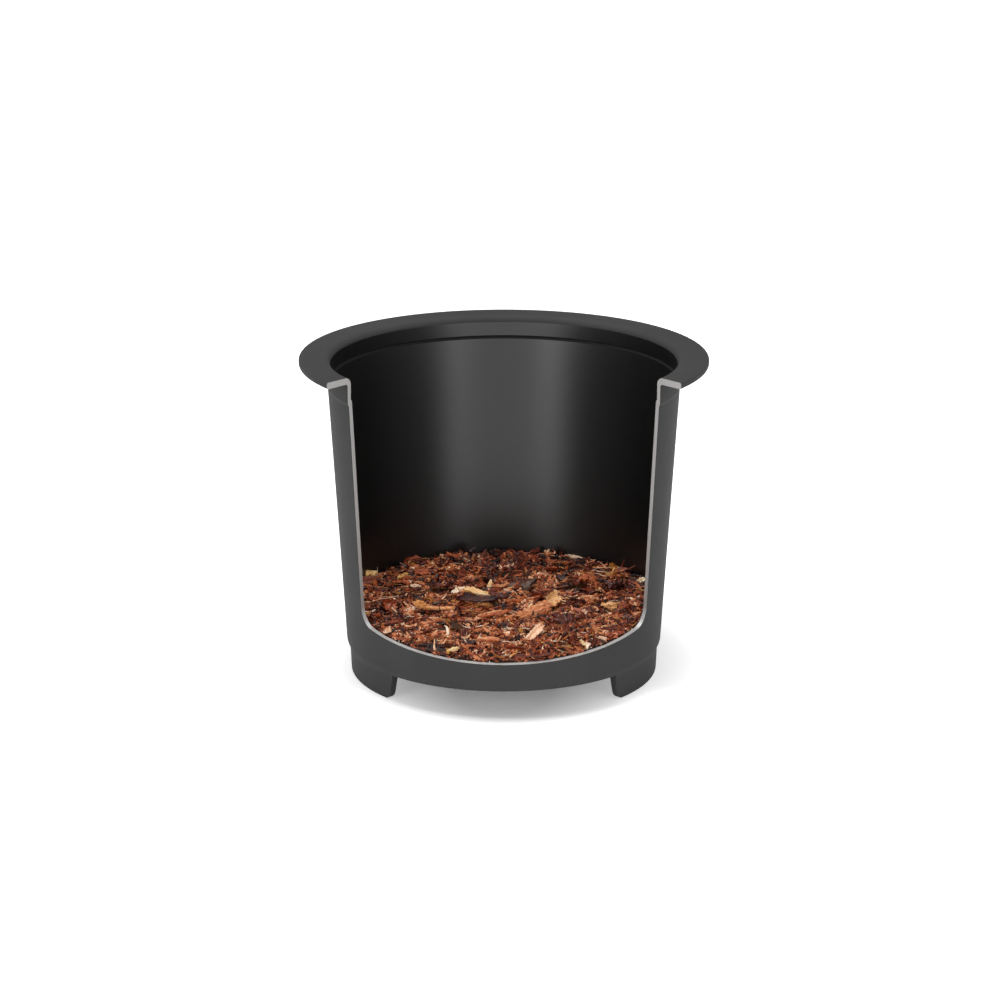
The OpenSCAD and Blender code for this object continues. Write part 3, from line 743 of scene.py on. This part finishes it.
def shredPoints(random, size):
    # torn strips: bent and twisted, ragged at their ends; rings of four points
    count, rings = size["count"], tear["rings"]
    length = random.uniform(*size["length"], count) * mm
    width = random.uniform(*size["width"], count) * mm
    thick = random.uniform(*size["thick"], count) * mm
    s = np.linspace(-0.5, 0.5, rings)
    taper = 1 - np.abs(2 * s) ** 2.4 * random.uniform(*tear["narrowing"], (count, 1))
    half = width[:, None] / 2 * taper * random.uniform(*tear["ragged"], (count, rings))
    deep = thick[:, None] / 2 * (tear["thinEnd"] + (1 - tear["thinEnd"]) * taper)
    bend = random.normal(0, tear["bend"], count)[:, None] * length[:, None] * (2 * s) ** 2
    curl = random.normal(0, size["curl"], count)[:, None] * length[:, None] * (2 * s) ** 2
    twist = random.normal(0, tear["twist"], count)[:, None] * s
    corners = np.array([(-1, -1), (1, -1), (1, 1), (-1, 1)])
    y, z = half[..., None] * corners[:, 0], deep[..., None] * corners[:, 1]
    c, t = np.cos(twist)[..., None], np.sin(twist)[..., None]
    points = np.empty((count, rings, 4, 3))
    fray = random.normal(0, tear["fray"], (count, rings, 4)) * width[:, None, None]
    points[..., 0] = (length[:, None] * s)[..., None] + fray
    points[..., 1] = c * y - t * z + bend[..., None]
    points[..., 2] = t * y + c * z + curl[..., None]
    grain = np.empty_like(points)
    grain[..., 0] = (length[:, None] * s)[..., None] / mm
    grain[..., 1] = y / mm
    grain[..., 2] = random.uniform(0, 100, count)[:, None, None]
    faces = [(0, 3, 2, 1), tuple(4 * (rings - 1) + i for i in range(4))]
    faces += [(4 * k + i, 4 * k + (i + 1) % 4, 4 * k + 4 + (i + 1) % 4, 4 * k + 4 + i)
              for k in range(rings - 1) for i in range(4)]
    return points.reshape(count, rings * 4, 3), faces, grain


def makeShreds(name, random, size, material, spots):
    points, faces, grain = shredPoints(random, size)
    count = size["count"]
    turned(points, random.uniform(0, 2 * pi, count), random.normal(0, size["tilt"], count),
           random.normal(0, tear["roll"], count))
    heapObject(name, points, faces, settle(random, points, size, spots), grain, material)


crumble = dict(
    pushed=(0.55, 1.35),     # each point in or out, as a share of the radius
    squashed=(0.45, 1.0),
    build=(1.6, 1.0, 0.9),   # length, width and height against each other
    fewLarge=2.2,        # how much rarer the large grains are
    pitch=0.7,
)


def makeCrumbs(name, random, size, material, spots):
    # broken grains: twelve points of an icosahedron, each pushed in or out, with flat breaks
    count = size["count"]
    base = bmesh.new()
    bmesh.ops.create_icosphere(base, subdivisions=1, radius=1)
    ball = np.array([v.co for v in base.verts])
    faces = [tuple(v.index for v in f.verts) for f in base.faces]
    base.free()
    points = ball[None] * random.uniform(*crumble["pushed"], (count, len(ball), 1))
    shape = random.uniform(*crumble["squashed"], (count, 1, 3)) * np.array(crumble["build"])
    spread = (size["high"] - size["low"]) * random.random(count) ** crumble["fewLarge"]
    radius = (size["low"] + spread) / 2 * mm
    points = points * shape * radius[:, None, None]
    grain = points / mm + random.uniform(0, 100, (count, 1, 3))
    turned(points, random.uniform(0, 2 * pi, count), random.normal(0, crumble["pitch"], count),
           random.uniform(0, 2 * pi, count))
    heapObject(name, points, faces, settle(random, points, size, spots), grain, material, smooth=False)


thread = dict(
    rings=9,
    radius=(0.09, 0.24),     # mm
    wander=0.3,          # radians from ring to ring
    climb=0.14,
    thinning=0.7,        # towards the ends
    pitch=0.16,
)


def makeFibres(name, random, size, material, spots):
    # thin roots and stalks: a wandering line with a three-sided section
    count, rings = size["count"], thread["rings"]
    length = random.uniform(*size["length"], count) * mm
    radius = random.uniform(*thread["radius"], count) * mm
    heading = np.cumsum(random.normal(0, thread["wander"], (count, rings)), 1)
    step = (length / (rings - 1))[:, None]
    x = np.cumsum(np.cos(heading) * step, 1)
    y = np.cumsum(np.sin(heading) * step, 1)
    z = np.cumsum(random.normal(0, thread["climb"], (count, rings)) * step, 1)
    centre = np.stack([x, y, z], -1)
    centre -= centre.mean(1, keepdims=True)
    side = np.stack([-np.sin(heading), np.cos(heading), np.zeros_like(heading)], -1)
    up = np.array([0, 0, 1.0])
    fade = (1 - thread["thinning"] * np.abs(np.linspace(-1, 1, rings)) ** 3)[None, :, None]
    points = np.stack([centre + fade * radius[:, None, None] * (side * cos(a) + up * sin(a))
                       for a in (pi / 2, pi * 7 / 6, pi * 11 / 6)], 2).reshape(count, rings * 3, 3)
    grain = points / mm
    turned(points, random.uniform(0, 2 * pi, count), random.normal(0, thread["pitch"], count),
           np.zeros(count))
    faces = [(3 * k + i, 3 * k + (i + 1) % 3, 3 * k + 3 + (i + 1) % 3, 3 * k + 3 + i)
             for k in range(rings - 1) for i in range(3)]
    heapObject(name, points, faces, settle(random, points, size, spots), grain, material)


split = dict(
    along=15, across=8,  # points of the flake's grid
    torn=0.2,            # how uneven the ends are, as a share of half the length
    blunt=(0.4, 0.9),    # width of the ends as a share
    hold=(2, 6),         # how long the sides keep their width
    ragged=0.1, sway=0.25, wobble=0.05, shear=0.3,
    ridges=(0.32, 0.14), # right along the flake, and broken up
    thinning=0.5,        # towards the edges
)


def chipPoints(random, length, width, thick, bend, curl):
    # a flake split off along its fibres: a ridged top and a smooth back inside a torn outline
    along, across = split["along"], split["across"]
    u = np.linspace(-1, 1, along)[:, None]
    v = np.linspace(-1, 1, across)[None]
    ends = random.uniform(-split["torn"], split["torn"], (2, across))
    torn = ends[(u[:, 0] > 0).astype(int)] * np.abs(u) ** 3
    blunt = random.uniform(*split["blunt"], (1, 2))
    halves = (1 - (1 - blunt) * np.abs(u) ** random.uniform(*split["hold"], (1, 2))
              + random.normal(0, split["ragged"], (along, 2)))
    sway = (split["sway"] * np.sin(1.8 * u + random.uniform(0, 6))
            + random.normal(0, split["wobble"], (along, 1)))
    x = u * length / 2 + torn * length / 2 + random.normal(0, split["shear"]) * v * width / 2
    y = (v * np.where(v < 0, halves[:, :1], halves[:, 1:]) + sway) * width / 2
    whole, partly = split["ridges"]
    ridge = (random.normal(0, whole, (1, across)) + random.normal(0, partly, (along, across))) * thick
    arch = bend * u ** 2 * length / 2 + curl * v ** 2 * width / 2
    edge = (1 - split["thinning"] * np.abs(v) ** 4) * (1 - split["thinning"] * np.abs(u) ** 6)
    top = np.stack(np.broadcast_arrays(x, y, arch + edge * thick / 2 + ridge), -1)
    back = np.stack(np.broadcast_arrays(x, y, arch - edge * thick / 2), -1)
    points = np.concatenate([top.reshape(-1, 3), back.reshape(-1, 3)])
    layer = along * across
    faces = []
    for i in range(along - 1):
        for j in range(across - 1):
            a = i * across + j
            faces += [(a, a + across, a + across + 1, a + 1),
                      (layer + a, layer + a + 1, layer + a + across + 1, layer + a + across)]
        a, z = i * across, i * across + across - 1
        faces += [(a, layer + a, layer + a + across, a + across),
                  (z + across, layer + z + across, layer + z, z)]
    for j in range(across - 1):
        a, z = j, (along - 1) * across + j
        faces += [(a + 1, layer + a + 1, layer + a, a), (z, layer + z, layer + z + 1, z + 1)]
    grain = np.stack(np.broadcast_arrays(u * length / 2, v * width / 2, 0 * u + 0 * v), -1).reshape(-1, 3)
    return points, faces, np.concatenate([grain, grain]) / mm


# chips that stand out: x and y on the bed, length, width and thickness in mm, direction and lean in
# degrees, tone, and how golden
largeChips = [
    (-24, 6, 9, 6, 1.3, 30, 25, 0.94, 0.6), (-14, -1, 15, 5.5, 1.2, -14, 25, 0.78, 0.8),
    (-13, -15, 21, 4.6, 1.2, 12, 30, 0.15, 0), (-12, -18, 17, 2.6, 1.0, 8, 10, 0.44, 1),
    (-3, -10, 9, 6, 1.1, 20, 35, 0.22, 0),
    (-34, -25, 14, 3.0, 0.9, -4, 15, 0.74, 0.3), (-44, -24, 8, 7, 1.2, 62, 35, 0.6, 0.5),
    (-7, -35, 20, 3.4, 1.1, 36, 20, 0.78, 0), (-5, -38, 18, 3.0, 1.0, 34, 10, 0.56, 0),
    (10, -16, 26, 3.2, 1.0, 40, 15, 0.54, 0), (15, -32, 24, 8, 1.2, 40, 30, 0.66, 0),
    (22, -24, 16, 5, 1.0, 34, 25, 0.7, 0), (26, -18, 12, 7, 1.0, 50, 35, 0.76, 0.5),
    (10, 8, 14, 9, 1.8, 8, 20, 0.15, 1),
    (36, 8, 15, 4, 2.4, 10, 30, 0.16, 1), (58, -20, 9, 7, 1.2, 30, 35, 0.72, 0.5),
    (40, 72, 11, 2.4, 1.2, -14, 10, 0.95, 0), (76, 27, 5, 3.4, 1.6, 10, 30, 0.97, 1),
    (16, -61, 13, 4.6, 1.0, 46, 20, 0.86, 0), (41, -68, 12, 2.4, 1.2, 104, 10, 0.88, 1),
    (52, -64, 8, 1.4, 0.9, -40, 10, 0.90, 0), (-26, -75, 7, 3, 0.9, 60, 30, 0.84, 1),
    (-7, -68, 10, 3, 1.0, 10, 20, 0.66, 0), (-74, 37, 8, 5, 1.8, 30, 30, 0.80, 1),
    (-61, -20, 10, 7, 1.8, 64, 30, 0.44, 0), (-5, 78, 6, 5, 3.0, 0, 0, 0.12, 0),
    (-52, 65, 12, 5, 2.0, 14, 20, 0.40, 0), (46, 24, 9, 6, 2.6, 4, 20, 0.52, 0),
    (61, 12, 8, 6, 2.8, 40, 20, 0.16, 0), (42, -30, 6, 3, 1.4, 60, 20, 0.92, 0),
    (32, -42, 12, 8, 2.6, 20, 25, 0.22, 0), (-48, 15, 5, 3, 1.2, 0, 20, 0.90, 0),
]


smallChips = dict(
    count=420, front=0.2, gold=0.12,
    shortest=3.2, spread=7, fewLong=1.6,   # lengths in mm, and how much rarer the long ones are
    width=(0.25, 0.7),   # as a share of the length
    thick=(0.7, 1.5),
    lean=0.45,           # radians
    tones=[0.07, 0.15, 0.24, 0.32, 0.4, 0.5, 0.66, 0.84],
    shares=[.16, .18, .22, .18, .12, .07, .04, .03],
    lift=(0.0, 1.0),
)
chipLay = dict(lift=1.8, bend=0.12, curl=0.3, pitch=0.12)   # lift in mm, of the large chips


def makeChips(random, material, spots):
    small = smallChips
    rows = [(x * mm, y * mm, length, width, thick, radians(turn), radians(lean), tone, gold,
             chipLay["lift"]) for x, y, length, width, thick, turn, lean, tone, gold in largeChips]
    for x, y in zip(*scatter(random, small["count"], small["front"])):
        length = small["shortest"] + small["spread"] * random.random() ** small["fewLong"]
        tone = random.choice(small["tones"], p=small["shares"])
        rows.append((x, y, length, length * random.uniform(*small["width"]),
                     random.uniform(*small["thick"]), random.uniform(0, 2 * pi),
                     random.normal(0, small["lean"]), tone, float(random.random() < small["gold"]),
                     random.uniform(*small["lift"])))
    x, y, length, turn, toneOf, goldOf = (np.array([row[i] for row in rows]) for i in (0, 1, 2, 5, 7, 8))
    reach = length * mm
    heights = np.max([heapHeight(x + part * reach * np.cos(turn), y + part * reach * np.sin(turn), spots)[0]
                      for part in (-0.25, 0, 0.25)], 0)
    allPoints, allGrain = [], []
    for (x, y, length, width, thick, turn, lean, _, _, lift), z in zip(rows, heights):
        points, faces, grain = chipPoints(random, length * mm, width * mm, thick * mm,
                                          random.normal(0, chipLay["bend"]),
                                          random.normal(0, chipLay["curl"]))
        turned(points[None], np.array([turn]), random.normal(0, chipLay["pitch"], 1), np.array([lean]))
        points += (x, y, z + (lift + abs(sin(lean)) * width / 3) * mm)
        allPoints.append(points)
        allGrain.append(grain + (0, 0, random.uniform(0, 100)))
    heapObject("residue_chips", np.array(allPoints), faces, (toneOf, goldOf), np.array(allGrain), material)


# tones of dried residue from dark to bleached, which the tone attribute picks with its painted light and
# shade: the reddish kind and the golden kind
redTones = [(0.0, "#120503"), (0.14, "#2b0e07"), (0.3, "#62220e"), (0.46, "#94401c"), (0.6, "#bd683a"),
            (0.74, "#dd9768"), (0.88, "#f1c59e"), (1.0, "#fbe8d4")]
goldTones = [(0.0, "#120a05"), (0.14, "#33190a"), (0.3, "#6b3a13"), (0.46, "#a06421"), (0.6, "#c4883a"),
             (0.74, "#dfae62"), (0.88, "#f0d09a"), (1.0, "#fbeed6")]


barkFibre = (3.03, 0.379, 0.7576)   # mm along, across and through the pieces


def barkPieces(name, roughness, streak):
    # dried plant residue, shredded and baked dry: bark colours with a slight gloss of resin, fibres
    # along each piece, every piece of its own tone, which also holds painted light and shade by its height
    # and place; the grain that they follow is in mm
    material, tree, surface = newMaterial(name, Roughness=roughness, Specular_IOR_Level=0.4)
    tone = addNode(tree, "Attribute", {"attribute_name": "tone"})
    gold = addNode(tree, "Attribute", {"attribute_name": "gold"})
    grain = addNode(tree, "Attribute", {"attribute_name": "grain"})
    stretch = addNode(tree, "Mapping", {"Scale": [1 / size for size in barkFibre]},
                      {"Vector": grain.outputs["Vector"]})
    fibre = addNode(tree, "TexNoise", {"Scale": 1.0, "Detail": 4.0, "Roughness": 0.7},
                    {"Vector": stretch.outputs[0]})
    drift = addNode(tree, "MapRange", {"From Min": 0.3, "From Max": 0.7,
                                       "To Min": -streak, "To Max": streak},
                    {"Value": fibre.outputs["Fac"]})
    mixed = addNode(tree, "Math", {"operation": "ADD", "use_clamp": True},
                    {0: tone.outputs["Fac"], 1: drift.outputs[0]})
    reds = addNode(tree, "ValToRGB", {"stops": redTones}, {"Fac": mixed.outputs[0]})
    golds = addNode(tree, "ValToRGB", {"stops": goldTones}, {"Fac": mixed.outputs[0]})
    colour = addNode(tree, "Mix", {"data_type": "RGBA"},
                     {0: gold.outputs["Fac"], 6: reds.outputs["Color"], 7: golds.outputs["Color"]})
    tree.links.new(colour.outputs[2], surface.inputs["Base Color"])
    bump = addNode(tree, "Bump", {"Strength": 0.8, "Distance": 0.2 * mm},
                   {"Height": fibre.outputs["Fac"]})
    tree.links.new(bump.outputs["Normal"], surface.inputs["Normal"])
    return material


def crumbledBodyPaintedShade():
    # the fine crumb between and under the larger pieces: dark brown of its own, and drawn nearly black so
    # that the gaps between pieces read as shaded, which is painted shade in its pits
    return grained("crumbled_residue_painted_shade", [(0.3, "#080302"), (0.55, "#1e0b05"), (0.75, "#40190c")],
                   0.9, 0.4, 1.0, rough=0.7, Roughness=0.8, Specular_IOR_Level=0.2)


# sizes in mm, tone as mean and spread, gold as the share of golden pieces; front is the share of
# pieces that are taken away behind the front
fineShreds = dict(count=5200, length=(1.4, 4.5), width=(0.5, 1.5), thick=(0.4, 1.0), curl=0.14,
                  tilt=0.45, lift=(-0.2, 1.2), tone=(0.34, 0.15), gold=0.06, front=0.2)
longStrips = dict(count=1500, length=(4.0, 11.0), width=(0.6, 2.2), thick=(0.4, 1.1), curl=0.1,
                  tilt=0.2, lift=(0.0, 1.4), tone=(0.34, 0.19), gold=0.08, front=0.0)
coarseCrumbs = dict(count=7000, low=1.0, high=3.8, lift=(-0.3, 0.9), tone=(0.31, 0.14), gold=0.05,
                    front=0.1)
fineCrumbs = dict(count=9500, low=0.5, high=1.7, lift=(-0.1, 1.0), tone=(0.48, 0.26), gold=0.08,
                  front=0.75)
fibres = dict(count=420, length=(5, 16), lift=(0.4, 2.0), tone=(0.6, 0.17), gold=0.5, front=0.0)


def makeResidue():
    random = np.random.default_rng(residue["seed"])
    spots = makeClods(random)
    makeBed(crumbledBodyPaintedShade(), spots)
    bark = barkPieces("shredded_bark", 0.5, 0.2)
    flake = barkPieces("split_flakes", 0.48, 0.24)
    makeShreds("residue_shreds", random, fineShreds, bark, spots)
    makeShreds("residue_strips", random, longStrips, bark, spots)
    makeCrumbs("residue_crumbs", random, coarseCrumbs, bark, spots)
    makeCrumbs("residue_grains", random, fineCrumbs, bark, spots)
    makeFibres("residue_fibres", random, fibres, flake, spots)
    makeChips(random, flake, spots)


def drivePart(name, low, high, roughness, grainMm, depthMm, metallic=1.0):
    # cast, sintered, turned or pressed material, with the grain of its mould, powder or tool; the
    # grains under 1 mm are drawn coarser than real ones, which wouldn't show
    return grained(name, [(0.3, low), (0.7, high)], grainMm, depthMm, 0.5,
                   Metallic=metallic, Roughness=roughness)


def dressDrive():
    # as cast, dull silver with a soft grain, and darker and greyer in steel; open-pored bronze; bright
    # turned steel; oil-blackened spring steel; black moulded rubber; brick-red hard fibre
    castAluminium = drivePart("die_cast_aluminium", "#8c8d8e", "#a3a4a5", 0.5, 1.6, 0.05)
    castSteel = drivePart("cast_steel", "#606264", "#76787a", 0.45, 1.2, 0.05)
    sintered = drivePart("sintered_bronze", "#8a6a3c", "#b08a55", 0.5, 0.5, 0.02)
    turnedSteel = drivePart("turned_stainless_steel", "#b4b6b8", "#c6c8ca", 0.28, 0.4, 0.01)
    blackened = drivePart("blackened_spring_steel", "#2e3033", "#3d4043", 0.35, 0.6, 0.01)
    rubber = drivePart("moulded_nitrile", "#1b1a1a", "#262423", 0.6, 0.8, 0.02, metallic=0.0)
    fibre = drivePart("pressed_fibre", "#6d3226", "#85402f", 0.75, 0.7, 0.03, metallic=0.0)
    finishes = dict(
        bearing_block=castAluminium, block_gasket=rubber, block_rivets=turnedSteel, lower_bush=sintered,
        upper_bush=sintered, shaft_seal=rubber, garter_spring=turnedSteel, drive_spindle=turnedSteel,
        spindle_washer=turnedSteel, retaining_ring=blackened, drive_coupling=castSteel,
        coupling_pin=turnedSteel, thrust_washer=sintered, stirring_blade=castAluminium, nut_seal=fibre,
        blade_washer=turnedSteel, cap_nut=turnedSteel)
    for node, finish in finishes.items():
        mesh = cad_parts[node].data
        mesh.materials.clear()
        mesh.materials.append(finish)
    print("drive dressed:", len(finishes), "nodes")


makeCamera()
makeStudio()
makeBucket(sprayedCoatOutside(), nonStickInside(), milledAluminium(), dullLedgeShadeCoat())
makeResidue()
dressDrive()
